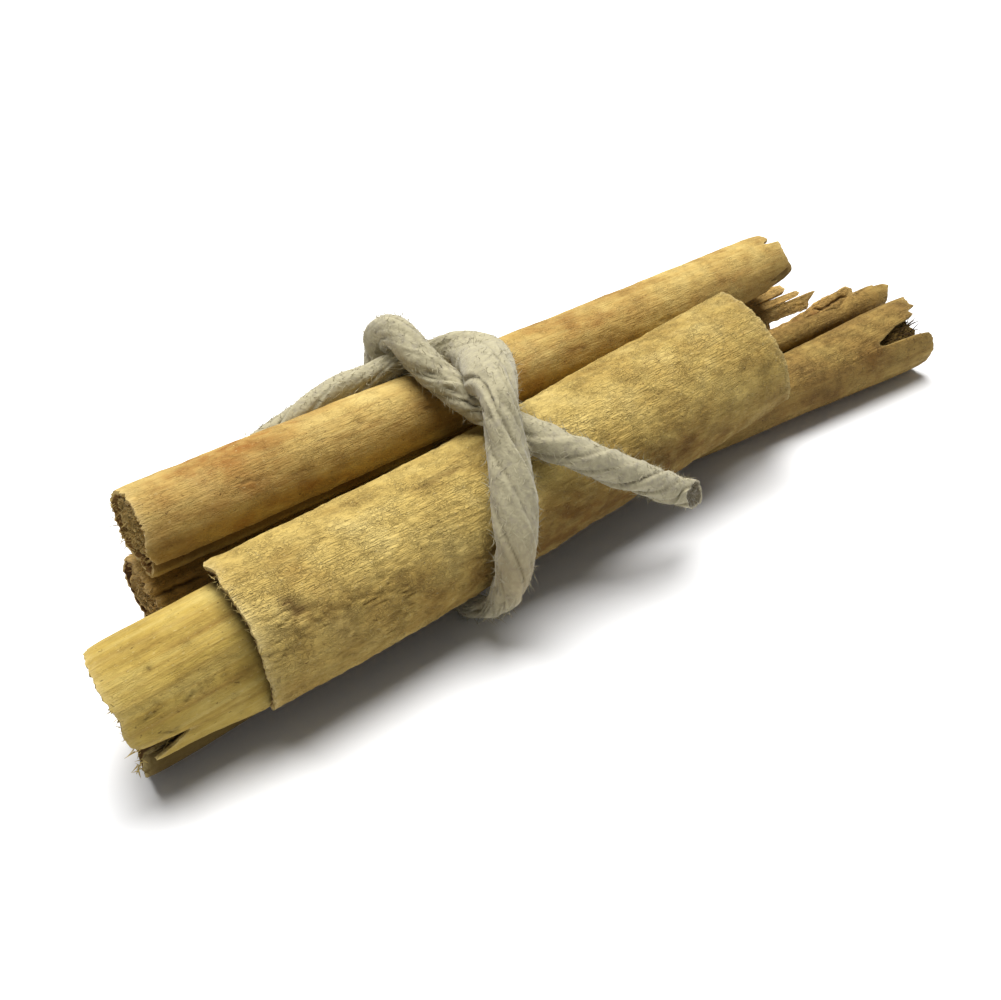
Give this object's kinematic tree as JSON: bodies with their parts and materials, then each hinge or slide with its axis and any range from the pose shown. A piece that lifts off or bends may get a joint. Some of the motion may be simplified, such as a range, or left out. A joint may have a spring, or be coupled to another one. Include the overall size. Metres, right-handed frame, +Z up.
{
  "type": "cinnamon stick bundle",
  "caption": "Rolled cinnamon bark sticks of uneven length, some held inside a wider sleeve of bark, tied round the middle by a soft pale cord in a loose half knot.",
  "frame": {"origin": "centre of the bounding box, on the floor that the bundle lies on", "axes": "+X along the bundle towards the end with the double-rolled stick, +Y to the back, +Z up"},
  "size_m": [0.1408, 0.0412, 0.0302],
  "materials": {
    "golden_bark": "dry matt bark, golden tan",
    "brown_bark": "dry matt bark, brown",
    "pale_bark": "dry rough bark, pale yellow-tan",
    "linen_cord": "soft undyed cord, matt"
  },
  "bodies": {
    "root": {"upper_back_quill": "golden_bark", "lower_back_quill": "brown_bark", "outer_sleeve": "pale_bark", "inner_left_quill": "golden_bark", "inner_right_quill": "brown_bark", "loose_bark_strip": "brown_bark", "tie_cord": "linen_cord"}
  },
  "joints": []
}
